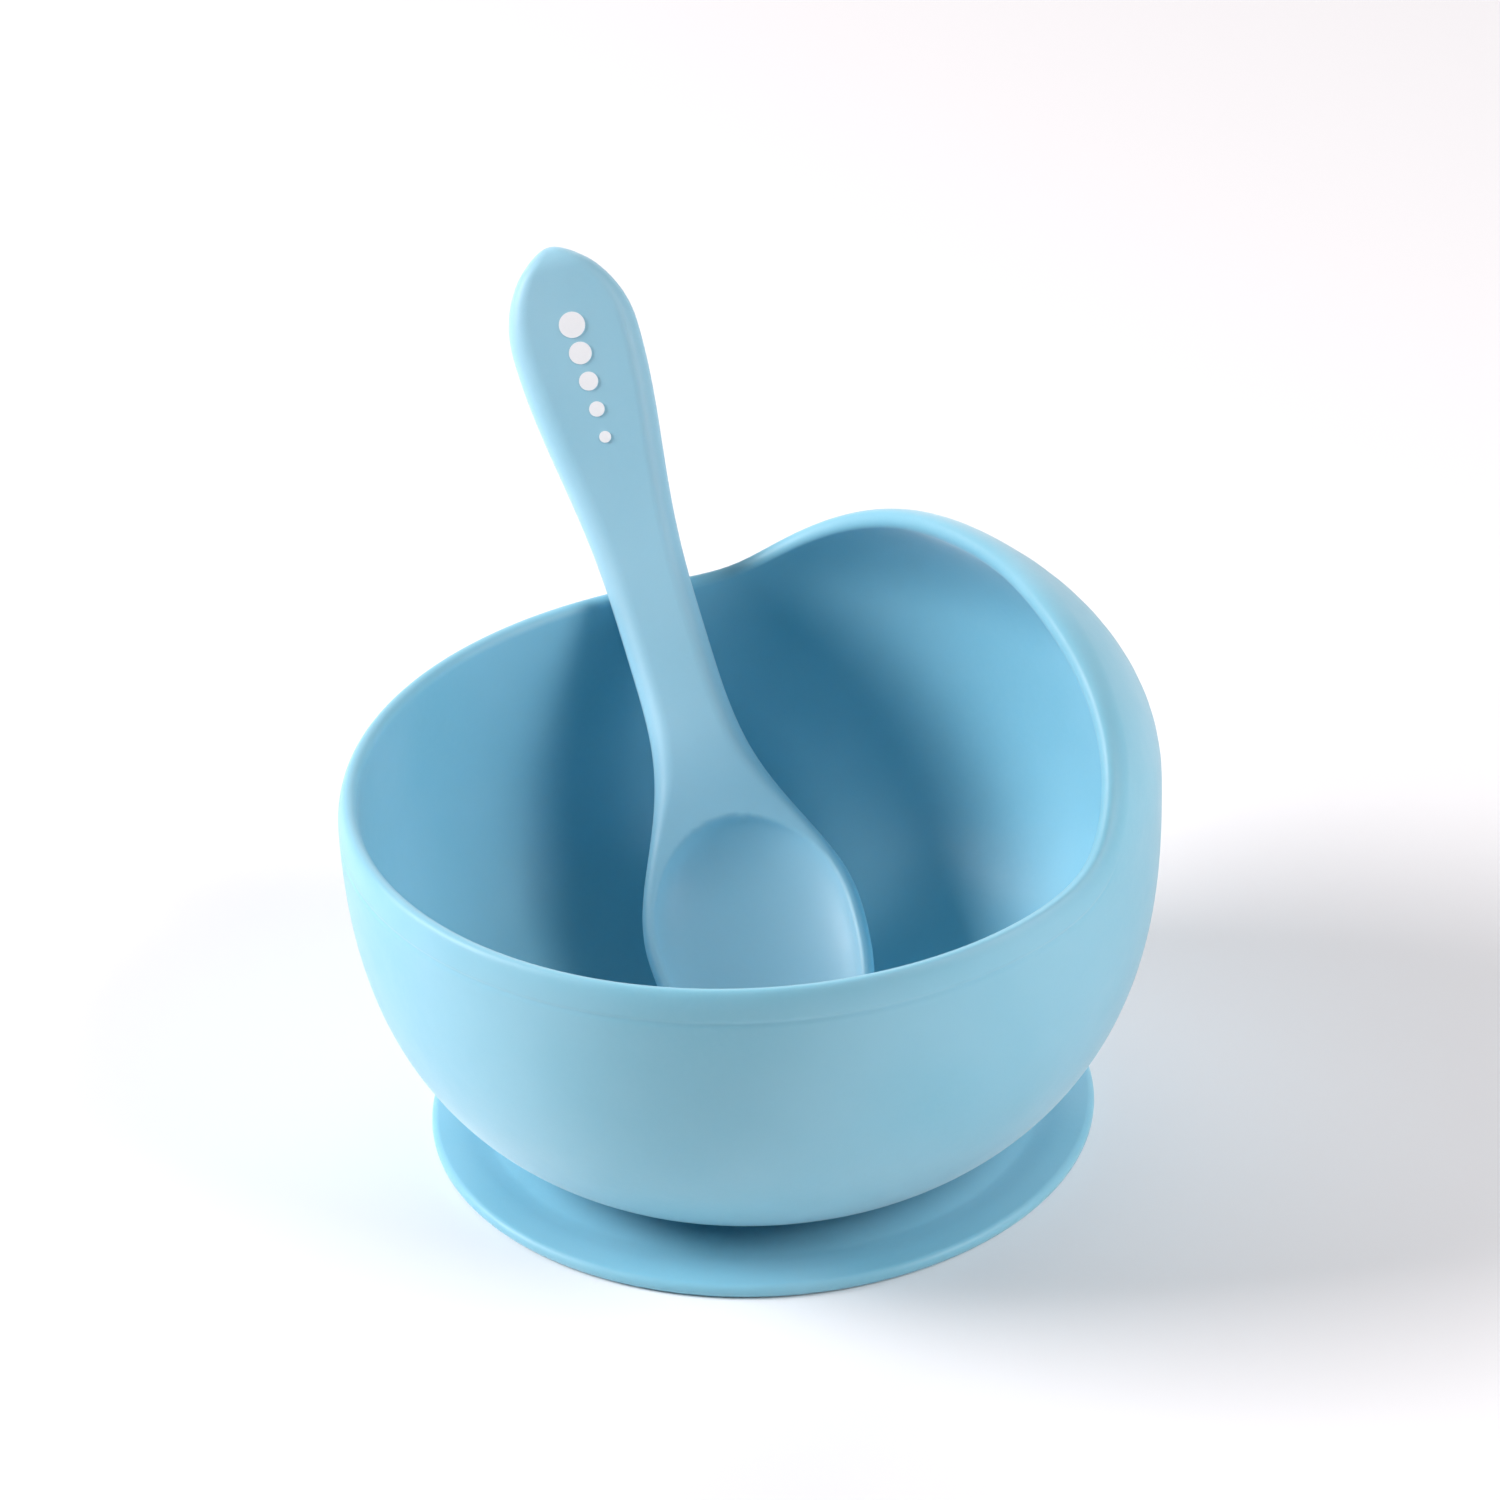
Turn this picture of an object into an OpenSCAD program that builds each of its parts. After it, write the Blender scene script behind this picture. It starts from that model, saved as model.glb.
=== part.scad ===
// Suction bowl with a tall leaning scoop wall, and a spoon resting in it.
// Millimetres. +Z is up and the table is z = 0. The origin is the centre of the base on the table.
// +X is to the right and +Y to the back. The scoop wall is at the back right.

/* [Bowl] */
// Largest outside diameter of the bowl
bowl_d = 125; // [118:1:132]
// Height of the widest ring above the table
belly_z = 59.4; // [58.5:0.1:60]
// Height over which the wall would curve in fully below the widest ring
drop_h = 62.4; // [60:0.2:64]
// Roundness of the outside below the widest ring, 2 is an ellipse and more is squarer
drop_bulge = 2.63; // [2.3:0.01:3]
// Height over which the wall would curve in fully above the widest ring
dome_h = 38.4; // [34:0.2:44]
// Roundness of the wall above the widest ring
dome_bulge = 2.03; // [1.8:0.01:2.6]
// Thickness of the wall
wall_t = 3.1; // [2.6:0.1:3.6]
// Height of the inside floor above the table
floor_z = 9.5; // [9:0.1:11]
// Roundness of the inside corner between floor and wall
hollow_bulge = 3.6; // [3:0.1:4.2]

/* [Rim and scoop] */
// Height of the low rim, measured at the middle of the lip
low_rim_z = 58.8; // [58:0.1:60]
// Height of the rim at the top of the scoop wall
high_rim_z = 84.3; // [76:0.1:86]
// Direction of the scoop wall, from +X towards +Y
scoop_az = 28.1; // [20:0.1:36]
// Half width of the scoop wall, as an angle round the bowl
scoop_half = 61.5; // [54:0.5:66]
// How full the shoulders of the scoop wall are, more is fuller
shoulder = 2.85; // [2:0.05:3.5]
// How softly the scoop wall runs out into the low rim
foot_soft = 0.28; // [0.15:0.01:0.35]
// Extra height of the rim on the scoop's side
rim_tilt = 1; // [0:0.1:1.5]
// Thickness of the lip on the low rim
low_lip_t = 3.1; // [2.8:0.1:3.4]
// Thickness of the lip on the scoop wall
high_lip_t = 3.8; // [3.4:0.1:4.4]

/* [Suction base] */
// Outside diameter of the sealing lip
base_d = 103.6; // [98:0.2:110]
// Inside diameter of the sealing lip, where the skirt starts
lip_inner_d = 88; // [84:1:92]
// Thickness of the sealing lip
lip_t = 2.2; // [1.8:0.1:2.6]
// Diameter of the hub that joins the base to the bowl
hub_d = 60; // [50:1:66]
// Height of the hub's underside above the table, which is the depth of the suction space
hub_z = 3.2; // [2.6:0.1:3.6]
// Height of the bowl's flat underside above the table
under_z = 6; // [5.6:0.1:6.4]
// Thickness of the flexing skirt
skirt_t = 1.4; // [1:0.1:1.6]

/* [Spoon] */
// Length of the spoon along its axis
spoon_l = 146; // [145:0.2:148]
// Distance from the tip to the widest place of the head
head_at = 31.2; // [27:0.2:35]
// Width of the head
head_w = 34.6; // [30:0.2:38]
// Distance from the tip to the narrowest place of the neck
neck_at = 81.6; // [77:0.2:87]
// Width of the neck
neck_w = 13.2; // [12:0.1:15]
// Distance from the tip to the widest place of the handle
grip_at = 131; // [127:0.2:135]
// Width of the handle at its widest
grip_w = 20.8; // [18:0.2:24]
// Thickness of the handle
grip_t = 7.6; // [7:0.1:8]
// Depth of the hollow in the head
head_depth = 4.6; // [3:0.1:5]
// Thickness of silicone under the hollow in the head
head_t = 2.6; // [2.2:0.1:3]
// Radius that the head curls up with towards the tip
head_curl_r = 106; // [95:1:140]
// Radius that the handle curves forward with
grip_curve_r = 252; // [220:1:400]
// How far the spoon's foot point lies from the origin, on each axis
spoon_at = [7.5, -7.2, 1.9];
// Direction that the handle points in, from +X towards +Y
spoon_az = 109.6; // [105:0.2:114]
// Angle of the handle above the table
spoon_tilt = 43.2; // [42:0.1:45]
// Turn of the spoon about its own axis
spoon_roll = -14.2; // [-16:0.2:-10]

/* [Spoon stiffener and print] */
// Distance from the tip to the near end of the stiffener
core_from = 61; // [57:1:71]
// Distance from the tip to the far end of the stiffener
core_to = 137; // [121:1:139]
// Width of the stiffener
core_w = 7; // [5:0.5:8]
// Thickness of the stiffener
core_t = 2.4; // [1.6:0.1:2.6]
// Number of holes that key the stiffener in the silicone
key_count = 3; // [1:1:4]
// Diameter of each keying hole
key_d = 3; // [2:0.1:3.5]
// Number of printed dots on the handle
dot_count = 5; // [3:1:6]
// Diameter of the largest printed dot
dot_d = 4.2; // [3:0.1:4.6]
// Distance from the tip to the first printed dot
dot_from = 114; // [100:1:116]
// Distance between printed dots
dot_step = 4.6; // [4:0.1:5]
// Height that the print stands proud of the handle
print_t = 0.15; // [0.1:0.01:0.2]

/* [Hidden] */

bowl_r = bowl_d / 2;
hub_r = hub_d / 2;
base_r = base_d / 2;
lip_inner_r = lip_inner_d / 2;
silicone = [0.56, 0.75, 0.87];
round_fn = 96;

// Steps of the bowl's skin: round the axis, up the outside, along the rim's zone, and over the lip.
turn_steps = 72;
drop_steps = 8;
zone_steps = 11;
lip_steps = 6;
hollow_steps = 9;
// Height where the rings stop being level and start to follow the rim
zone_z = 40;
// Radius left level on the underside past the bend, and height that the bend takes
under_bend = 3;
under_bend_h = 2;
// Last angle on the inside floor before its middle point
hollow_end = 80;

// Height that a rim piece is measured over to find the wall's lean
slope_span = 0.01;

function arch(t, bulge) = pow(max(0, 1 - pow(t, bulge)), 1 / bulge);
function mix(a, b, t) = a + (b - a) * t;
function swell(t) = 0.5 * (1 - cos(180 * t));

// Outside radius of the bowl at a height
function outer_r(z) = z < belly_z
    ? bowl_r * arch((belly_z - z) / drop_h, drop_bulge)
    : bowl_r * arch((z - belly_z) / dome_h, dome_bulge);
function outer_slope(z) = (outer_r(z + slope_span) - outer_r(z - slope_span)) / (2 * slope_span);
// Outward normal of the wall, as [radius, height]
function outer_normal(z) = [1, -outer_slope(z)] / norm([1, outer_slope(z)]);

// Inside radius below the widest ring, a squarer curve that ends level on the floor
function hollow_r(z) = (bowl_r - wall_t) * arch((belly_z - z) / (belly_z - floor_z), hollow_bulge);

// Share of the scoop's full height at a direction
function off_scoop(az) = abs((az - scoop_az + 540) % 360 - 180);
function scoop_fall(az) = 1 - pow(off_scoop(az) / scoop_half, shoulder);
function soft_floor(v) = 0.5 * (v + sqrt(v * v + foot_soft * foot_soft));
function scoop_share(az) = soft_floor(scoop_fall(az)) / soft_floor(1);
function rim_z(az) = low_rim_z + rim_tilt * (1 + cos(off_scoop(az))) / 2
    + (high_rim_z - low_rim_z) * scoop_share(az);
function lip_thick(az) = mix(low_lip_t, high_lip_t, scoop_share(az));

// Wall thickness at a height in the direction az, which grows to the lip's thickness at the rim
function thick(z, az) = mix(wall_t, lip_thick(az), max(0, min(1, (z - belly_z) / (rim_z(az) - belly_z))));
function inner_point(z, az) = z < belly_z
    ? [hollow_r(z), z]
    : [outer_r(z), z] - thick(z, az) * outer_normal(z);

// Angle on a bulged quarter curve at which it has come down by the share t
function drop_angle(t, bulge) = asin(pow(t, bulge / 2));
function bend_point(a, b, c, t) = (1 - t) * (1 - t) * a + 2 * t * (1 - t) * b + t * t * c;

// Half section of the bowl in the direction az, from the underside, over the lip and back to the floor
function bowl_section(az) =
    let (top = rim_z(az), t = lip_thick(az), n = outer_normal(top),
         up = [-n[1], n[0]], middle = [outer_r(top), top] - n * t / 2,
         corner = [outer_r(under_z), under_z],
         bend_end = [outer_r(under_z + under_bend_h), under_z + under_bend_h],
         a0 = drop_angle((belly_z - zone_z) / drop_h, drop_bulge),
         a1 = drop_angle((belly_z - bend_end[1]) / drop_h, drop_bulge),
         b0 = drop_angle((belly_z - zone_z) / (belly_z - floor_z), hollow_bulge))
    concat(
        [for (k = [0:3]) bend_point(corner - [under_bend, 0], corner, bend_end, k / 3)],
        [for (k = [1:drop_steps])
            let (z = belly_z - drop_h * pow(sin(mix(a1, a0, k / drop_steps)), 2 / drop_bulge))
            [outer_r(z), z]],
        [for (k = [1:zone_steps])
            let (z = mix(zone_z, top, k / zone_steps)) [outer_r(z), z]],
        [for (k = [1:lip_steps - 1])
            middle + t / 2 * (cos(180 * k / lip_steps) * n + sin(180 * k / lip_steps) * up)],
        [for (k = [zone_steps:-1:0]) inner_point(mix(zone_z, top, k / zone_steps), az)],
        [for (k = [1:hollow_steps])
            let (z = belly_z - (belly_z - floor_z)
                    * pow(sin(mix(b0, hollow_end, k / hollow_steps)), 2 / hollow_bulge))
            [hollow_r(z), z]]);

// Bowl: wall, lip, scoop and floor in one moulding
module bowl_shell() {
    sections = [for (i = [0:turn_steps - 1]) bowl_section(360 * i / turn_steps)];
    count = len(sections[0]);
    under = turn_steps * count;
    middle = under + 1;
    skin = [for (i = [0:turn_steps - 1]) for (p = sections[i])
        [p[0] * cos(360 * i / turn_steps), p[0] * sin(360 * i / turn_steps), p[1]]];
    sides = [for (i = [0:turn_steps - 1]) for (j = [0:count - 2])
        let (a = i * count + j, b = ((i + 1) % turn_steps) * count + j) [a, a + 1, b + 1, b]];
    bottom = [for (i = [0:turn_steps - 1]) [under, i * count, ((i + 1) % turn_steps) * count]];
    floor = [for (i = [0:turn_steps - 1])
        [middle, ((i + 1) % turn_steps) * count + count - 1, i * count + count - 1]];
    color(silicone)
        polyhedron(concat(skin, [[0, 0, under_z], [0, 0, floor_z]]), concat(sides, bottom, floor));
}

// Hub: the neck of the suction base, bonded to the bowl's underside, with a small cove at its top
module base_hub() {
    cove = under_z - hub_z - skirt_t;
    color(silicone)
        rotate_extrude($fn = round_fn)
            polygon(concat(
                [[0, under_z], [0, hub_z], [hub_r, hub_z]],
                [for (k = [0:5]) [hub_r + cove - cove * cos(18 * k), under_z - cove + cove * sin(18 * k)]]));
}

// Skirt: the thin sloping web that flexes when the bowl is pressed down
module suction_skirt() {
    foot_z = (lip_t - skirt_t) / 2;
    color(silicone)
        rotate_extrude($fn = round_fn)
            polygon([[hub_r, hub_z], [hub_r, hub_z + skirt_t],
                     [lip_inner_r, foot_z + skirt_t], [lip_inner_r, foot_z]]);
}

// Sealing lip: the flat ring that lies on the table, with a round outer edge
module sealing_lip() {
    edge_r = lip_t / 2;
    inner_step = (lip_t - skirt_t) / 2;
    color(silicone)
        rotate_extrude($fn = round_fn)
            polygon(concat(
                [[lip_inner_r, lip_t - inner_step], [lip_inner_r, inner_step], [lip_inner_r + 2, 0]],
                [for (k = [-6:6]) [base_r - edge_r + edge_r * cos(15 * k), edge_r + edge_r * sin(15 * k)]],
                [[lip_inner_r + 2, lip_t]]));
}

// Spoon, in its own frame: x runs from the tip to the handle's end, z is out of the hollow's side.
// The head curls up towards the tip until curl_until, and the handle curves from curve_from.
curl_until = 52.8;
curve_from = 75.8;
spoon_steps = 52;
row_steps = 8;
// Power of the curve from head to neck, from neck to grip, and of the pointed round end
head_run = 2.16;
grip_run = 1.47;
end_round = 0.65;
// Front face of the handle above the spoon's middle line
face_h = 4;
// Thickness of the head's edge, and how far that edge lies below the handle's face
head_edge_t = 3.4;
head_sink = 2;
// The hollow in the head: its near and far ends, the width of the level edge beside it, and how
// steep its sides are, where 0.5 is an ellipsoid
hollow_from = 2.8;
hollow_to = 49.6;
hollow_edge = 1.9;
hollow_steep = 0.6;
// Where the head's thin section has become the handle's thick one
thick_from = 41;
thick_to = 67;
// Radius of the long edges, and the lengths that round off at the tip and at the handle's end
edge_round = 3.3;
tip_round = 3;
grip_round = 5;

function half_width(x) =
    x < head_at ? head_w / 2 * sqrt(max(0, 1 - pow((head_at - x) / head_at, 2)))
    : x < neck_at ? mix(neck_w, head_w, pow(1 - swell((x - head_at) / (neck_at - head_at)), head_run)) / 2
    : x < grip_at ? mix(neck_w, grip_w, pow(swell((x - neck_at) / (grip_at - neck_at)), grip_run)) / 2
    : grip_w / 2 * pow(max(0, 1 - pow((x - grip_at) / (spoon_l - grip_at), 2)), end_round);
function spoon_line(x) = pow(max(0, curl_until - x), 2) / (2 * head_curl_r)
    + pow(max(0, x - curve_from), 2) / (2 * grip_curve_r);
// Share of the handle's section: 0 in the head, 1 in the handle
function handle_share(x) = swell(max(0, min(1, (x - thick_from) / (thick_to - thick_from))));
function end_share(x) = sqrt(max(0, 1 - pow(max(0, 1 - x / tip_round, 1 - (spoon_l - x) / grip_round), 2)));
// Depth of the hollow at a place, as a share of its deepest. The hollow's outline is an egg,
// widest at head_at.
function hollow_share(x, y) =
    let (along = (x - head_at) / (x < head_at ? head_at - hollow_from : hollow_to - head_at),
         across = y / (head_w / 2 - hollow_edge))
    pow(max(0, 1 - along * along - across * across), hollow_steep);
function edge_top(x) = spoon_line(x) + face_h - head_sink * (1 - handle_share(x));
function edge_thick(x) = mix(head_edge_t, grip_t, handle_share(x));
function front_z(x, y) = edge_top(x) - head_depth * hollow_share(x, y)
    - edge_thick(x) * (1 - end_share(x)) / 2;
function back_bulge(x, y) = (head_depth + head_t - head_edge_t) * hollow_share(x, 0)
    * max(0, 1 - pow(y / max(1, half_width(x)), 2));
function back_z(x, y) = edge_top(x) - edge_thick(x) * (1 + end_share(x)) / 2 - back_bulge(x, y);

// One ring of the spoon at x: across the front, round one edge, back across and round the other
function spoon_ring(x) =
    let (w = half_width(x), r = min(edge_round, w * 0.8, edge_thick(x) * end_share(x) / 2),
         flat = w - r)
    concat(
        [for (k = [0:row_steps]) let (y = mix(-flat, flat, k / row_steps)) [x, y, front_z(x, y)]],
        [for (a = [60, 30]) [x, flat + r * cos(a), front_z(x, flat) - r * (1 - sin(a))]],
        [for (a = [30, 60]) [x, flat + r * cos(a), back_z(x, flat) + r * (1 - sin(a))]],
        [for (k = [0:row_steps]) let (y = mix(flat, -flat, k / row_steps)) [x, y, back_z(x, y)]],
        [for (a = [60, 30]) [x, -flat - r * cos(a), back_z(x, flat) + r * (1 - sin(a))]],
        [for (a = [30, 60]) [x, -flat - r * cos(a), front_z(x, flat) - r * (1 - sin(a))]]);

// Places the spoon's own frame in the bowl
module in_bowl() {
    translate(spoon_at) rotate([spoon_roll, -spoon_tilt, spoon_az]) children();
}

// Stiffener's shape, which is also the shape of the space that it fills
module core_shape() {
    steps = 24;
    spots = [for (k = [0:steps]) mix(core_from, core_to, k / steps)];
    middle_drop = face_h - grip_t / 2;
    difference() {
        rotate([90, 0, 0])
            linear_extrude(core_w, center = true)
                polygon(concat(
                    [for (x = spots) [x, spoon_line(x) + middle_drop + core_t / 2]],
                    [for (k = [steps:-1:0]) [spots[k], spoon_line(spots[k]) + middle_drop - core_t / 2]]));
        for (k = [1:key_count])
            let (x = mix(core_from, core_to, k / (key_count + 1)))
            translate([x, 0, spoon_line(x)]) cylinder(d = key_d, h = 3 * core_t + 4, center = true, $fn = 32);
    }
}

// Hair-thin vent from the stiffener's space out through the spoon's back
module core_vent() {
    vent_d = 0.5;
    vent_at = core_from + 4;
    translate([vent_at, 0, -grip_t])
        cylinder(d = vent_d, h = grip_t + spoon_line(vent_at), $fn = 16);
}

// Spoon: the soft moulding, with the space that the stiffener fills
module spoon_body() {
    first = 0.12;
    xs = [for (k = [0:spoon_steps]) first + (spoon_l - 2 * first) * swell(k / spoon_steps)];
    rings = [for (x = xs) spoon_ring(x)];
    count = len(rings[0]);
    apexes = [for (x = [0, spoon_l]) [x, 0, (front_z(x, 0) + back_z(x, 0)) / 2]];
    points = concat([for (ring = rings) for (p = ring) p], apexes);
    sides = [for (i = [0:spoon_steps - 1]) for (j = [0:count - 1])
        let (a = i * count + j, b = i * count + (j + 1) % count) [a, b, b + count, a + count]];
    last = spoon_steps * count;
    tip = [for (j = [0:count - 1]) [(j + 1) % count, j, last + count]];
    end = [for (j = [0:count - 1]) [last + j, last + (j + 1) % count, last + count + 1]];
    color(silicone)
        in_bowl()
            difference() {
                polyhedron(points, concat(sides, tip, end));
                core_shape();
                core_vent();
            }
}

// Stiffener: a curved strip inside the neck and handle
module spoon_core() {
    color("white") in_bowl() core_shape();
}

// Print: a row of white dots down the handle, from large to small.
// The seat keeps a flat dot from cutting into the hollow curve of the handle's face.
module spoon_print() {
    seat = 0.012;
    color("white")
        in_bowl()
            for (k = [0:dot_count - 1])
                let (x = dot_from + dot_step * k, lean = atan((x - curve_from) / grip_curve_r))
                translate([x, 0, spoon_line(x) + face_h + seat])
                    rotate([0, -lean, 0])
                        cylinder(d = dot_d * mix(0.45, 1, k / (dot_count - 1)), h = print_t, $fn = 48);
}

bowl_shell();
base_hub();
suction_skirt();
sealing_lip();
spoon_body();
spoon_core();
spoon_print();
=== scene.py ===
import math

import bmesh
import bpy
from mathutils import Matrix, Vector


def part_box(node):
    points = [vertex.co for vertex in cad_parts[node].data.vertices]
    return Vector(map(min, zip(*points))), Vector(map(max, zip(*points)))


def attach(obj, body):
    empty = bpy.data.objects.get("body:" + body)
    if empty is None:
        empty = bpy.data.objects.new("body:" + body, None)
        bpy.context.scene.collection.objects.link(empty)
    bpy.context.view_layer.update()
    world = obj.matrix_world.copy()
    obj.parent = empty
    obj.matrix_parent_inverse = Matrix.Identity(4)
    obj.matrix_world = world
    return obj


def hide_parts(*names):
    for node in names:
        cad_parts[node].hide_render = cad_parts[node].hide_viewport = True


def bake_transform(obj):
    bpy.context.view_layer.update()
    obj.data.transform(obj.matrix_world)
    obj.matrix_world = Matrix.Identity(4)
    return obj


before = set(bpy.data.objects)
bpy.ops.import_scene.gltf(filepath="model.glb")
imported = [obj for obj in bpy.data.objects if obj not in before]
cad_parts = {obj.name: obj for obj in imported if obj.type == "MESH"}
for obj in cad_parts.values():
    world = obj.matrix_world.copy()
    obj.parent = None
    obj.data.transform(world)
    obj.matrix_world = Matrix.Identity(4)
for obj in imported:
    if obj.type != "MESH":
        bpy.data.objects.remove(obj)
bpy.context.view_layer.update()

# A soft silicone suction bowl with a leaning scoop wall, and its spoon. Sizes below are in millimetres
# and degrees until the meshes are made, and the outlines follow the same rules as the CAD solids.
MM = 0.001


def box_mm(node):
    """Lowest and highest corner of a CAD node, in millimetres."""
    low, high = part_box(node)
    return Vector(low) / MM, Vector(high) / MM


bowl_low, bowl_high = box_mm("bowl_shell")
lip_low, lip_high = box_mm("sealing_lip")
skirt_low, skirt_high = box_mm("suction_skirt")
hub_low, _ = box_mm("base_hub")

# Bowl
BOWL_R = (bowl_high.x - bowl_low.x) / 2
UNDER_Z = bowl_low.z
BELLY_Z = 59.4
DROP_H = 62.4
DROP_BULGE = 2.63
DOME_H = 38.4
DOME_BULGE = 2.03
WALL_T = 3.1
FLOOR_Z = 9.5
HOLLOW_BULGE = 3.6
LOW_RIM_Z = 58.8
HIGH_RIM_Z = 84.3
SCOOP_AZ = 28.1
SCOOP_HALF = 61.5
SHOULDER = 2.85
FOOT_SOFT = 0.28
RIM_TILT = 1
LOW_LIP_T = 3.1
HIGH_LIP_T = 3.8
# Above this height the wall is spaced evenly up to the lip
ZONE_Z = 40
# Soft bend between the underside and the outside: how far it reaches in, and up
UNDER_BEND = 3
UNDER_BEND_H = 2
# Mould line below the lip: its distance, half width and depth, and how fast it fades towards the scoop
CREASE_DROP = 3.4
CREASE_HALF = 0.4
CREASE_DEPTH = 0.2
CREASE_FADE = 5
# How far the lip's rounding runs down its outside, and how far down the finely spaced points go
LIP_SHOULDER = 2.9
LIP_ZONE = 4.7
# Where the curve of the hollow hands over to the flat floor, in degrees along the curve
HOLLOW_END = 86

# Suction base
BASE_R = (lip_high.x - lip_low.x) / 2
LIP_T = lip_high.z
LIP_INNER_R = (skirt_high.x - skirt_low.x) / 2
HUB_Z = hub_low.z
HUB_R = 30
SKIRT_T = skirt_high.z - HUB_Z
# Distance from a flat face's edge to the ring of points that keeps it flat: under the hub, on the lip
HUB_FLAT_IN = 1
LIP_FLAT_IN = 2

# Spoon, along x from its tip, before it is placed in the bowl
SPOON_L = 146
HEAD_AT = 31.2
HEAD_W = 34.6
NECK_AT = 81.6
NECK_W = 13.2
GRIP_AT = 131
GRIP_W = 20.8
GRIP_T = 7.6
HEAD_DEPTH = 4.6
HEAD_T = 2.6
HEAD_CURL_R = 106
GRIP_CURVE_R = 252
CURL_UNTIL = 52.8
CURVE_FROM = 75.8
HEAD_RUN = 2.16
GRIP_RUN = 1.47
END_ROUND = 0.65
FACE_H = 4
HEAD_EDGE_T = 3.4
HEAD_SINK = 2
HOLLOW_FROM = 2.8
HOLLOW_TO = 49.6
HOLLOW_EDGE = 1.9
HOLLOW_STEEP = 0.6
THICK_FROM = 41
THICK_TO = 67
EDGE_ROUND = 3.3
EDGE_SHARE = 0.8
TIP_ROUND = 3
GRIP_ROUND = 5
SPOON_AT = Vector((7.5, -7.2, 1.9))
SPOON_AZ = 109.6
SPOON_TILT = 43.2
SPOON_ROLL = -14.2


def mix(a, b, t):
    return a + (b - a) * t


def clamp(t):
    return max(0.0, min(1.0, t))


def swell(t):
    return 0.5 * (1 - math.cos(math.pi * clamp(t)))


def cosd(a):
    return math.cos(math.radians(a))


def sind(a):
    return math.sin(math.radians(a))


# ---------------------------------------------------------------- bowl outline


def arch(t, bulge):
    return max(0.0, 1 - t ** bulge) ** (1 / bulge)


def outer_r(z):
    if z < BELLY_Z:
        return BOWL_R * arch((BELLY_Z - z) / DROP_H, DROP_BULGE)
    return BOWL_R * arch((z - BELLY_Z) / DOME_H, DOME_BULGE)


def outer_point(z):
    return Vector((outer_r(z), z))


def outer_normal(z):
    span = 0.01
    slope = (outer_r(z + span) - outer_r(z - span)) / (2 * span)
    return Vector((1, -slope)).normalized()


def hollow_r(z):
    return (BOWL_R - WALL_T) * arch((BELLY_Z - z) / (BELLY_Z - FLOOR_Z), HOLLOW_BULGE)


def off_scoop(az):
    return abs((az - SCOOP_AZ + 540) % 360 - 180)


def scoop_share(az):
    """0 on the low rim, 1 at the top of the scoop wall."""
    fall = 1 - (off_scoop(az) / SCOOP_HALF) ** SHOULDER
    return (fall + math.hypot(fall, FOOT_SOFT)) / (1 + math.hypot(1, FOOT_SOFT))


def rim_z(az):
    tilt = RIM_TILT * (1 + cosd(off_scoop(az))) / 2
    return LOW_RIM_Z + tilt + (HIGH_RIM_Z - LOW_RIM_Z) * scoop_share(az)


def lip_thick(az):
    return mix(LOW_LIP_T, HIGH_LIP_T, scoop_share(az))


def inner_point(z, az):
    if z < BELLY_Z:
        return Vector((hollow_r(z), z))
    thick = mix(WALL_T, lip_thick(az), clamp((z - BELLY_Z) / (rim_z(az) - BELLY_Z)))
    return outer_point(z) - thick * outer_normal(z)


def drop_angle(share, bulge):
    return math.asin(share ** (bulge / 2))


def curve_z(depth, bulge, angle):
    """Height on a bulged quarter curve that starts level with the belly."""
    return BELLY_Z - depth * math.sin(angle) ** (2 / bulge)


def lip_side(z, az, lean):
    """Outside of the wall near the lip: a soft shoulder, and below it a faint mould line that fades
    out towards the scoop wall."""
    t = lip_thick(az)
    below = (rim_z(az) - z) / lean
    depth = CREASE_DEPTH * math.exp(-((below - CREASE_DROP) / CREASE_HALF) ** 2)
    depth *= max(0.0, 1 - CREASE_FADE * scoop_share(az))
    share = max(0.0, LIP_SHOULDER - below) / (LIP_SHOULDER + t / 2)
    depth += t / 2 * (1 - math.sqrt(1 - share * share))
    return outer_point(z) - depth * outer_normal(z)


def under_bend():
    """From the flat underside round to the outside."""
    steps = 8
    corner = outer_point(UNDER_Z)
    start = corner - Vector((UNDER_BEND, 0))
    end = outer_point(UNDER_Z + UNDER_BEND_H)
    shares = [k / steps for k in range(steps + 1)]
    return [(1 - s) ** 2 * start + 2 * s * (1 - s) * corner + s * s * end for s in shares]


def outer_wall(az):
    """Up the outside, from the bend to the top of the lip's outer side."""
    drop_steps, zone_steps, side_steps = 26, 18, 24
    top = rim_z(az)
    lean = outer_normal(top).x
    side_low = top - LIP_ZONE * lean
    zone_angle = drop_angle((BELLY_Z - ZONE_Z) / DROP_H, DROP_BULGE)
    bend_angle = drop_angle((BELLY_Z - UNDER_Z - UNDER_BEND_H) / DROP_H, DROP_BULGE)
    points = []
    for k in range(1, drop_steps + 1):
        points.append(outer_point(curve_z(DROP_H, DROP_BULGE, mix(bend_angle, zone_angle, k / drop_steps))))
    for k in range(1, zone_steps + 1):
        points.append(outer_point(mix(ZONE_Z, side_low, k / zone_steps)))
    for k in range(1, side_steps + 1):
        points.append(lip_side(mix(side_low, top, k / side_steps), az, lean))
    return points


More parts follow.
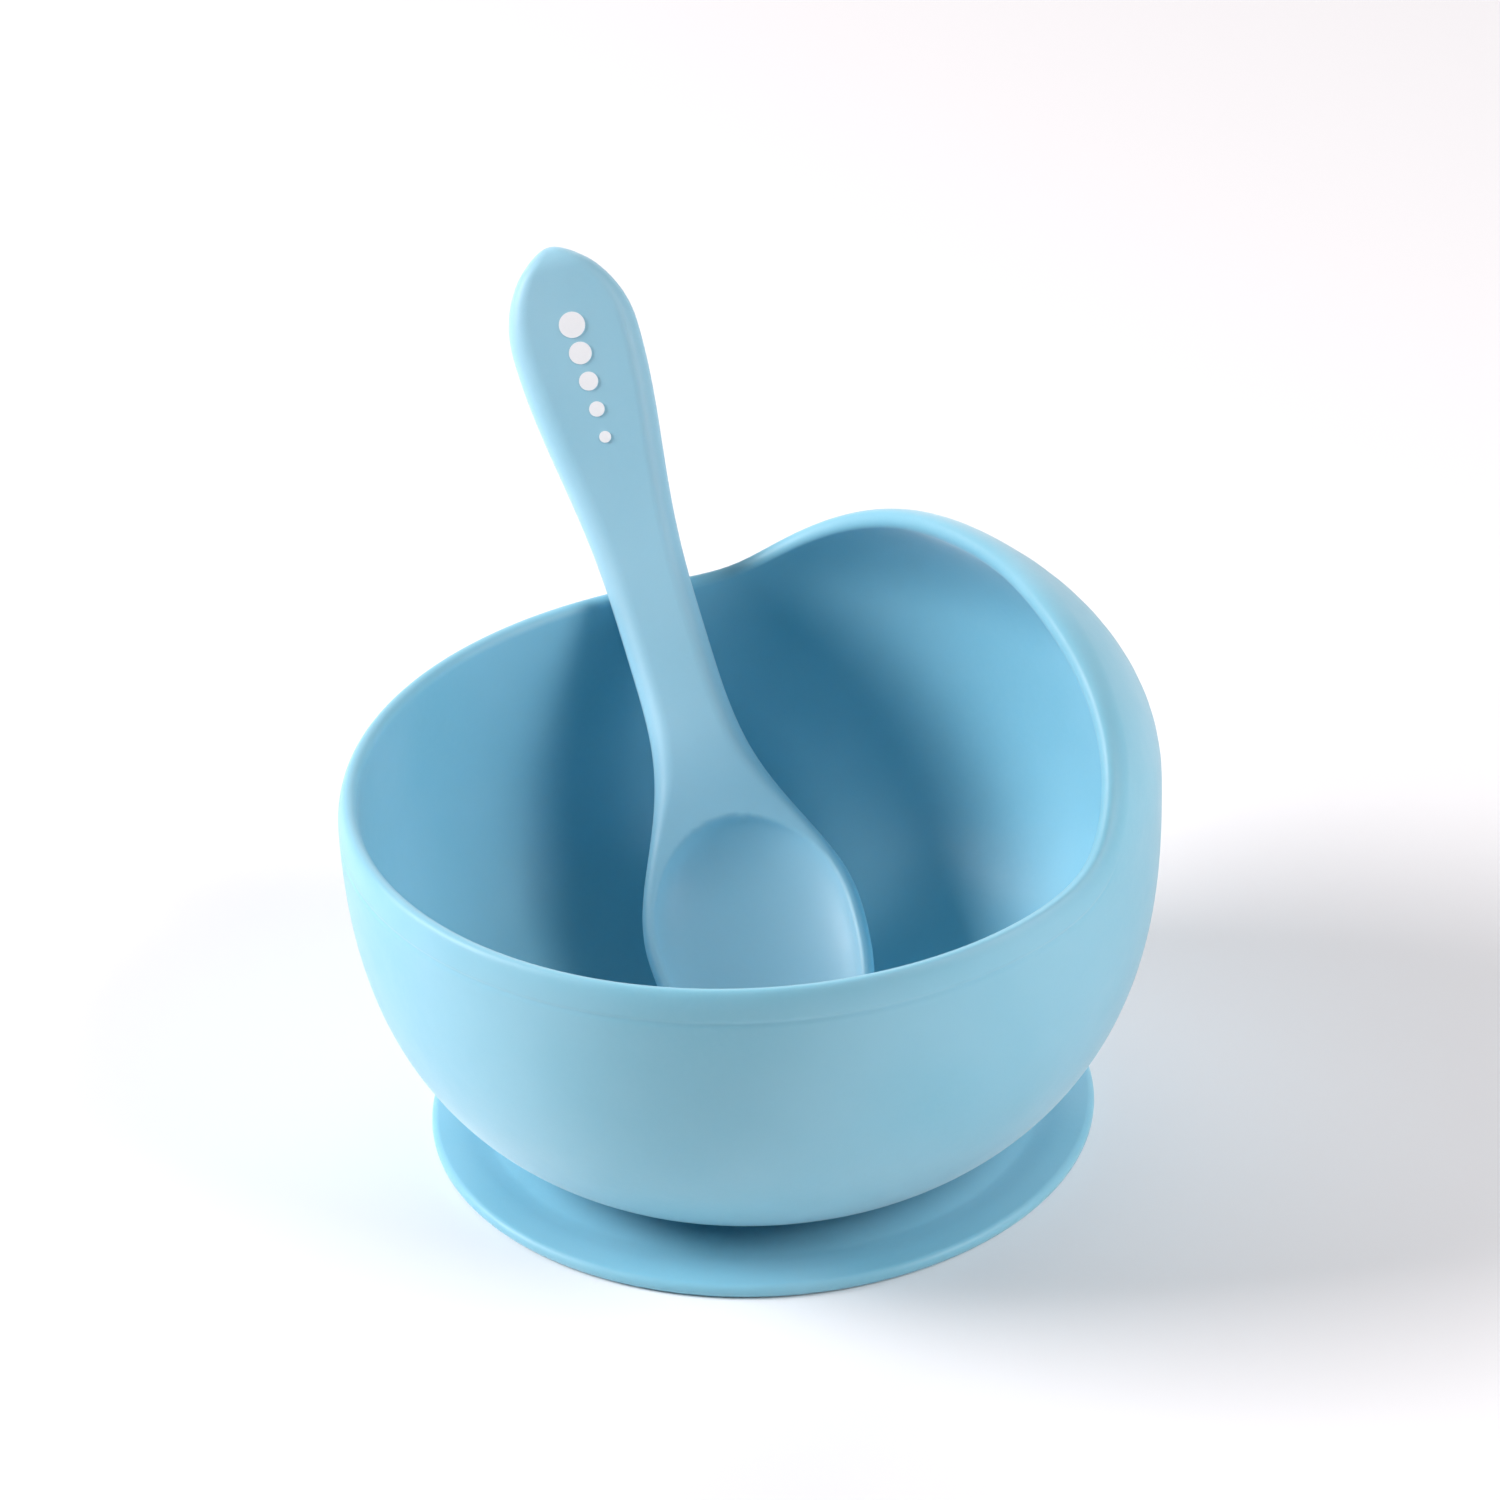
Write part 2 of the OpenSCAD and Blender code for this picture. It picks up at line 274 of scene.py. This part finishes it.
def lip_cap(az):
    """Over the lip: a long soft quarter outside, and a plain quarter circle inside."""
    steps = 9
    top, t = rim_z(az), lip_thick(az)
    n = outer_normal(top)
    up = Vector((-n.y, n.x))
    middle = outer_point(top) - n * t / 2
    cap = LIP_SHOULDER + t / 2
    cap_from = math.asin(LIP_SHOULDER / cap)
    points = []
    for k in range(1, steps + 1):
        turn = mix(cap_from, math.pi / 2, k / steps)
        points.append(middle + t / 2 * math.cos(turn) * n + (cap * math.sin(turn) - LIP_SHOULDER) * up)
    for k in range(1, steps):
        turn = math.pi / 2 * (1 + k / steps)
        points.append(middle + t / 2 * (math.cos(turn) * n + math.sin(turn) * up))
    return points


def inner_wall(az):
    """Down the inside from the lip to the edge of the floor."""
    zone_steps, hollow_steps = 18, 34
    depth = BELLY_Z - FLOOR_Z
    top = rim_z(az)
    zone_angle = drop_angle((BELLY_Z - ZONE_Z) / depth, HOLLOW_BULGE)
    points = [inner_point(mix(ZONE_Z, top, k / zone_steps), az) for k in range(zone_steps, -1, -1)]
    for k in range(1, hollow_steps + 1):
        z = curve_z(depth, HOLLOW_BULGE, mix(zone_angle, math.radians(HOLLOW_END), k / hollow_steps))
        points.append(Vector((hollow_r(z), z)))
    return points


def bowl_floor(edge):
    """From the floor's edge in towards its middle."""
    steps = 5
    shares = [1 - k / (steps + 1) for k in range(1, steps + 1)]
    return [Vector((edge.x * share, mix(FLOOR_Z, edge.y, share * share))) for share in shares]


def bowl_section(az):
    """Points (radius, height) from the underside, up the outside, over the lip and down to the floor."""
    wall = under_bend() + outer_wall(az) + lip_cap(az) + inner_wall(az)
    return wall + bowl_floor(wall[-1])


# ---------------------------------------------------------------- suction base outline


def arc(centre, radius, start, end, steps):
    return [
        Vector((centre[0] + radius * cosd(mix(start, end, k / steps)),
                centre[1] + radius * sind(mix(start, end, k / steps))))
        for k in range(steps + 1)
    ]


def base_section():
    """Points (radius, height) of hub, skirt and sealing lip in one, from the middle of the underside."""
    hub_steps, skirt_steps, edge_steps, cove_steps = 5, 14, 16, 5
    cove_low, cove_high = 240, 185
    edge_r = LIP_T / 2
    edge_at = BASE_R - edge_r
    cove = UNDER_Z - HUB_Z - SKIRT_T
    step = (LIP_T - SKIRT_T) / 2
    flat_r = LIP_INNER_R + LIP_FLAT_IN

    points = [Vector((HUB_R * k / hub_steps, HUB_Z)) for k in range(1, hub_steps)]
    points.append(Vector((HUB_R - HUB_FLAT_IN, HUB_Z)))
    for k in range(skirt_steps + 1):
        s = k / skirt_steps
        points.append(Vector((mix(HUB_R, LIP_INNER_R, s), mix(HUB_Z, step, s))))
    points.append(Vector((flat_r, 0)))
    points.append(Vector((mix(flat_r, edge_at, 0.5), 0)))
    points += arc((edge_at, edge_r), edge_r, -90, 90, edge_steps)
    points.append(Vector((mix(edge_at, flat_r, 0.5), LIP_T)))
    points.append(Vector((flat_r, LIP_T)))
    for k in range(skirt_steps + 1):
        s = k / skirt_steps
        points.append(Vector((mix(LIP_INNER_R, HUB_R, s), mix(LIP_T - step, HUB_Z + SKIRT_T, s))))
    points += arc((HUB_R + cove, UNDER_Z), cove, cove_low, cove_high, cove_steps)
    points += [Vector((HUB_R * k / hub_steps, UNDER_Z)) for k in range(hub_steps, 0, -1)]
    return points


# ---------------------------------------------------------------- spoon outline


def half_width(x):
    """Half the spoon's width: an elliptic tip, then eased to the neck, the grip and the round end."""
    if x < HEAD_AT:
        return HEAD_W / 2 * math.sqrt(max(0.0, 1 - ((HEAD_AT - x) / HEAD_AT) ** 2))
    if x < NECK_AT:
        return mix(NECK_W, HEAD_W, (1 - swell((x - HEAD_AT) / (NECK_AT - HEAD_AT))) ** HEAD_RUN) / 2
    if x < GRIP_AT:
        return mix(NECK_W, GRIP_W, swell((x - NECK_AT) / (GRIP_AT - NECK_AT)) ** GRIP_RUN) / 2
    return GRIP_W / 2 * max(0.0, 1 - ((x - GRIP_AT) / (SPOON_L - GRIP_AT)) ** 2) ** END_ROUND


def spoon_line(x):
    """Height of the spoon's middle line: curled up at the head, and curved up along the handle."""
    curl = max(0, CURL_UNTIL - x) ** 2 / (2 * HEAD_CURL_R)
    return curl + max(0, x - CURVE_FROM) ** 2 / (2 * GRIP_CURVE_R)


def handle_share(x):
    """0 in the head, 1 in the handle."""
    return swell((x - THICK_FROM) / (THICK_TO - THICK_FROM))


def end_share(x):
    """Thickness at the spoon's two ends, where it is rounded off, as a share of the full thickness."""
    near = max(0.0, 1 - x / TIP_ROUND, 1 - (SPOON_L - x) / GRIP_ROUND)
    return math.sqrt(max(0.0, 1 - near * near))


def hollow_share(x, y):
    """Depth of the hollow in the head, as a share of its deepest."""
    along = (x - HEAD_AT) / ((HEAD_AT - HOLLOW_FROM) if x < HEAD_AT else (HOLLOW_TO - HEAD_AT))
    across = y / (HEAD_W / 2 - HOLLOW_EDGE)
    return max(0.0, 1 - along * along - across * across) ** HOLLOW_STEEP


def edge_top(x):
    return spoon_line(x) + FACE_H - HEAD_SINK * (1 - handle_share(x))


def edge_thick(x):
    return mix(HEAD_EDGE_T, GRIP_T, handle_share(x))


def front_z(x, y):
    return edge_top(x) - HEAD_DEPTH * hollow_share(x, y) - edge_thick(x) * (1 - end_share(x)) / 2


def back_z(x, y):
    bulge = (HEAD_DEPTH + HEAD_T - HEAD_EDGE_T) * hollow_share(x, 0)
    bulge *= max(0.0, 1 - (y / max(1.0, half_width(x))) ** 2)
    return edge_top(x) - edge_thick(x) * (1 + end_share(x)) / 2 - bulge


def spoon_ring(x):
    """One closed loop round the spoon: its front, and its back, with round edges between them."""
    front_steps, back_steps, edge_steps = 56, 28, 9
    w = half_width(x)
    r = min(EDGE_ROUND, w * EDGE_SHARE, edge_thick(x) * end_share(x) / 2)
    flat = w - r
    top, bottom = front_z(x, flat), back_z(x, flat)
    half_arc = [math.pi / 2 * (1 - k / edge_steps) for k in range(1, edge_steps)]
    ring = []
    for k in range(front_steps + 1):
        y = mix(-flat, flat, k / front_steps)
        ring.append(Vector((x, y, front_z(x, y))))
    for a in half_arc:
        ring.append(Vector((x, flat + r * math.cos(a), top - r * (1 - math.sin(a)))))
    for a in reversed(half_arc):
        ring.append(Vector((x, flat + r * math.cos(a), bottom + r * (1 - math.sin(a)))))
    for k in range(back_steps + 1):
        y = mix(flat, -flat, k / back_steps)
        ring.append(Vector((x, y, back_z(x, y))))
    for a in half_arc:
        ring.append(Vector((x, -flat - r * math.cos(a), bottom + r * (1 - math.sin(a)))))
    for a in reversed(half_arc):
        ring.append(Vector((x, -flat - r * math.cos(a), top - r * (1 - math.sin(a)))))
    return ring


def in_bowl():
    """Places the spoon's own frame in the bowl."""
    turn = Matrix.Rotation(math.radians(SPOON_AZ), 3, "Z")
    turn = turn @ Matrix.Rotation(math.radians(-SPOON_TILT), 3, "Y")
    return turn @ Matrix.Rotation(math.radians(SPOON_ROLL), 3, "X")


# ---------------------------------------------------------------- meshes


TURN_STEPS = 240


def make_object(name, points, faces):
    """A smooth-shaded mesh object from points in millimetres."""
    mesh = bpy.data.meshes.new(name)
    mesh.from_pydata([p * MM for p in points], [], faces)
    bm = bmesh.new()
    bm.from_mesh(mesh)
    bmesh.ops.recalc_face_normals(bm, faces=bm.faces)
    bm.to_mesh(mesh)
    bm.free()
    mesh.shade_smooth()
    obj = bpy.data.objects.new(name, mesh)
    bpy.context.scene.collection.objects.link(obj)
    return obj


def closed_grid(name, rings, first_point, last_point, loop_rings):
    """Joins rings of equal length into a skin, closed at both ends by a fan round a point.

    loop_rings says that each ring is a closed loop; otherwise the rings themselves go round.
    """
    count, turns = len(rings[0]), len(rings)
    points = [p for ring in rings for p in ring] + [first_point, last_point]
    first, last = len(points) - 2, len(points) - 1
    faces = []
    if loop_rings:
        for i in range(turns - 1):
            for j in range(count):
                a, b = i * count + j, i * count + (j + 1) % count
                faces.append((a, b, b + count, a + count))
        end = (turns - 1) * count
        faces += [((j + 1) % count, j, first) for j in range(count)]
        faces += [(end + j, end + (j + 1) % count, last) for j in range(count)]
    else:
        for i in range(turns):
            for j in range(count - 1):
                a, b = i * count + j, ((i + 1) % turns) * count + j
                faces.append((a, a + 1, b + 1, b))
            a, b = i * count, ((i + 1) % turns) * count
            faces.append((first, a, b))
            faces.append((last, b + count - 1, a + count - 1))
    return make_object(name, points, faces)


def turned(section, az):
    return [Vector((p.x * cosd(az), p.x * sind(az), p.y)) for p in section]


def make_bowl():
    angles = [360 * i / TURN_STEPS for i in range(TURN_STEPS)]
    rings = [turned(bowl_section(az), az) for az in angles]
    return closed_grid("bowl_skin", rings, Vector((0, 0, UNDER_Z)), Vector((0, 0, FLOOR_Z)), False)


def make_base():
    section = base_section()
    rings = [turned(section, 360 * i / TURN_STEPS) for i in range(TURN_STEPS)]
    return closed_grid("suction_base_skin", rings, Vector((0, 0, HUB_Z)), Vector((0, 0, UNDER_Z)), False)


def make_spoon():
    """Rings along the spoon, a little closer together near its ends, which each end in a point."""
    steps, end_gap, ease = 300, 0.06, 0.75
    shares = [mix(k / steps, swell(k / steps), ease) for k in range(steps + 1)]
    turn = in_bowl()

    def place(p):
        return turn @ p + SPOON_AT

    rings = [[place(p) for p in spoon_ring(end_gap + (SPOON_L - 2 * end_gap) * share)] for share in shares]
    tip, end = [place(Vector((x, 0, (front_z(x, 0) + back_z(x, 0)) / 2))) for x in (0, SPOON_L)]
    return closed_grid("spoon_skin", rings, tip, end, True)


# ---------------------------------------------------------------- materials


BOWL_BLUE = (0.245, 0.57, 0.71)
SPOON_BLUE = (0.325, 0.61, 0.74)
PALE_BLUE = (0.50, 0.76, 0.88)


class Nodes:
    """A material's node tree, with short calls to add and link its nodes."""

    def __init__(self, name):
        self.material = bpy.data.materials.new(name)
        self.material.use_nodes = True
        self.tree = self.material.node_tree
        self.shader = self.tree.nodes["Principled BSDF"]
        coords = self.tree.nodes.new("ShaderNodeTexCoord")
        self.coords = coords.outputs["Object"]

    def link(self, output, node_input):
        self.tree.links.new(output, node_input)

    def noise(self, scale, detail=3, roughness=0.5):
        node = self.tree.nodes.new("ShaderNodeTexNoise")
        node.inputs["Scale"].default_value = scale
        node.inputs["Detail"].default_value = detail
        node.inputs["Roughness"].default_value = roughness
        self.link(self.coords, node.inputs["Vector"])
        return node.outputs["Fac"]

    def spread(self, value, from_low, from_high, to_low, to_high):
        """Maps a value from one range to another, held at both ends."""
        node = self.tree.nodes.new("ShaderNodeMapRange")
        for key, number in zip(("From Min", "From Max", "To Min", "To Max"),
                               (from_low, from_high, to_low, to_high)):
            node.inputs[key].default_value = number
        self.link(value, node.inputs["Value"])
        return node.outputs["Result"]

    def blend(self, fac, a, b):
        """Mixes two colours. Each argument is a number or colour, or another node's output."""
        node = self.tree.nodes.new("ShaderNodeMix")
        node.data_type = "RGBA"
        sockets = {"Factor": node.inputs[0], "A": node.inputs[6], "B": node.inputs[7]}
        for key, value in (("Factor", fac), ("A", a), ("B", b)):
            if isinstance(value, bpy.types.NodeSocket):
                self.link(value, sockets[key])
            elif key == "Factor":
                sockets[key].default_value = value
            else:
                sockets[key].default_value = (*value, 1)
        return node.outputs[2]

    def bump(self, height, distance, strength, normal=None):
        node = self.tree.nodes.new("ShaderNodeBump")
        node.inputs["Distance"].default_value = distance
        node.inputs["Strength"].default_value = strength
        self.link(height, node.inputs["Height"])
        if normal is not None:
            self.link(normal, node.inputs["Normal"])
        return node.outputs["Normal"]


def silicone(name, colour):
    """Matte moulded silicone: slightly uneven colour, a fine grain, and light that soaks in."""
    cloud_scale, fleck_scale, polish_scale, ripple_scale, grain_scale = 38, 900, 160, 420, 5200
    cloud_share, fleck_share, fleck_most = 0.16, 0.12, 0.35
    n = Nodes(name)
    cloud = n.spread(n.noise(cloud_scale, 2), 0.35, 0.65, 0.0, 1.0)
    fleck = n.spread(n.noise(fleck_scale, 2), 0.42, 0.75, 0.0, fleck_most)
    tone = n.blend(cloud, colour, [mix(c, p, cloud_share) for c, p in zip(colour, PALE_BLUE)])
    spot = [mix(c, p, fleck_share) for c, p in zip(colour, PALE_BLUE)]
    n.link(n.blend(fleck, tone, spot), n.shader.inputs["Base Color"])
    n.link(n.spread(n.noise(polish_scale, 3), 0.3, 0.7, 0.4, 0.5), n.shader.inputs["Roughness"])
    grain = n.bump(n.noise(grain_scale, 2, 0.6), 0.00004, 0.35)
    n.link(n.bump(n.noise(ripple_scale, 2), 0.00012, 0.25, grain), n.shader.inputs["Normal"])
    n.shader.inputs["Subsurface Weight"].default_value = 0.1
    n.shader.inputs["Subsurface Radius"].default_value = (0.3, 0.8, 1.0)
    n.shader.inputs["Subsurface Scale"].default_value = 0.003
    n.shader.inputs["IOR"].default_value = 1.41
    n.shader.inputs["Sheen Weight"].default_value = 0.35
    n.shader.inputs["Sheen Roughness"].default_value = 0.35
    return n.material


def nylon():
    """Natural moulded nylon, for the stiffener."""
    tone_scale, polish_scale, grain_scale = 300, 700, 2600
    n = Nodes("stiffener_nylon_look")
    tone = n.blend(n.noise(tone_scale, 3), (0.70, 0.69, 0.63), (0.80, 0.79, 0.74))
    n.link(tone, n.shader.inputs["Base Color"])
    n.link(n.spread(n.noise(polish_scale, 2), 0.3, 0.7, 0.4, 0.55), n.shader.inputs["Roughness"])
    n.link(n.bump(n.noise(grain_scale, 3), 0.00005, 0.3), n.shader.inputs["Normal"])
    return n.material


def ink():
    """White silicone ink with a fine screen-print grain."""
    tone_scale, polish_scale, grain_scale = 1500, 900, 4200
    n = Nodes("white_ink_look")
    tone = n.blend(n.noise(tone_scale, 3), (0.94, 0.95, 0.96), (0.98, 0.98, 0.98))
    n.link(tone, n.shader.inputs["Base Color"])
    n.link(n.spread(n.noise(polish_scale, 2), 0.3, 0.7, 0.42, 0.58), n.shader.inputs["Roughness"])
    n.link(n.bump(n.noise(grain_scale, 2), 0.00003, 0.35), n.shader.inputs["Normal"])
    return n.material


blue_silicone = silicone("blue_silicone_look", BOWL_BLUE)
spoon_silicone = silicone("spoon_silicone_look", SPOON_BLUE)


def finish_piece(obj, material, slot, *nodes):
    obj.data.materials.append(material)
    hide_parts(*nodes)
    return obj


bowl_skin = finish_piece(make_bowl(), blue_silicone, "blue_silicone", "bowl_shell")
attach(bowl_skin, "bowl")

spoon_skin = finish_piece(make_spoon(), spoon_silicone, "spoon_silicone", "spoon_body")
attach(spoon_skin, "spoon")

base_skin = finish_piece(make_base(), blue_silicone, "blue_silicone",
                         "base_hub", "suction_skirt", "sealing_lip")
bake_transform(base_skin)

for node, material in (("spoon_core", nylon()), ("spoon_print", ink())):
    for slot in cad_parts[node].material_slots:
        slot.material = material


# ---------------------------------------------------------------- floor, light and camera


FLOOR_HALF = 4.0
FLOOR_WHITE = (0.92, 0.92, 0.92, 1)
SOFT_WHITE = (1, 0.96, 0.98)
LIGHTS_AIM = Vector((0, 0, 0.04))
# Name, azimuth from +X towards +Y, elevation, distance, side of the square, and watts
LIGHTS = (
    ("key_left", 177, 31, 1.0, 0.45, 12.6),
    ("fill_right", 338, 35, 1.0, 0.6, 7.6),
    ("back", 90, 24, 1.2, 1.6, 10.4),
)
CAMERA_AIM = Vector((0.4, 0, 64.7)) * MM
CAMERA_DISTANCE = 0.9
CAMERA_ELEVATION = 30.28
CAMERA_ROLL = -2.51
CAMERA_LENS = 142.9
SENSOR_WIDTH = 36
WORLD_STRENGTH = 0.02


def make_floor():
    h = FLOOR_HALF
    mesh = bpy.data.meshes.new("floor")
    mesh.from_pydata([(-h, -h, 0), (h, -h, 0), (h, h, 0), (-h, h, 0)], [], [(0, 1, 2, 3)])
    floor = bpy.data.objects.new("floor", mesh)
    bpy.context.scene.collection.objects.link(floor)
    n = Nodes("floor_look")
    n.shader.inputs["Base Color"].default_value = FLOOR_WHITE
    n.shader.inputs["Roughness"].default_value = 0.9
    mesh.materials.append(n.material)


def area_light(name, azimuth, elevation, distance, size, watts):
    """A square soft box that faces the bowl's middle."""
    away = Vector((cosd(azimuth) * cosd(elevation), sind(azimuth) * cosd(elevation), sind(elevation)))
    data = bpy.data.lights.new(name, "AREA")
    data.size = size
    data.energy = watts
    data.color = SOFT_WHITE
    light = bpy.data.objects.new(name, data)
    light.location = LIGHTS_AIM + away * distance
    light.rotation_euler = away.to_track_quat("Z", "Y").to_euler()
    bpy.context.scene.collection.objects.link(light)


def make_camera():
    back = Vector((0, -cosd(CAMERA_ELEVATION), sind(CAMERA_ELEVATION)))
    right, up = Vector((1, 0, 0)), Vector((0, sind(CAMERA_ELEVATION), cosd(CAMERA_ELEVATION)))
    axis_x = cosd(CAMERA_ROLL) * right + sind(CAMERA_ROLL) * up
    axis_y = -sind(CAMERA_ROLL) * right + cosd(CAMERA_ROLL) * up
    data = bpy.data.cameras.new("camera")
    data.sensor_width = SENSOR_WIDTH
    data.lens = CAMERA_LENS
    camera = bpy.data.objects.new("camera", data)
    turn = Matrix((axis_x, axis_y, back)).transposed().to_4x4()
    camera.matrix_world = Matrix.Translation(CAMERA_AIM + back * CAMERA_DISTANCE) @ turn
    bpy.context.scene.collection.objects.link(camera)
    bpy.context.scene.camera = camera


make_floor()
make_camera()
for light in LIGHTS:
    area_light(*light)

world = bpy.data.worlds.new("studio")
bpy.context.scene.world = world
world.use_nodes = True
world.node_tree.nodes["Background"].inputs["Color"].default_value = (1, 1, 1, 1)
world.node_tree.nodes["Background"].inputs["Strength"].default_value = WORLD_STRENGTH
bpy.context.scene.view_settings.view_transform = "Standard"
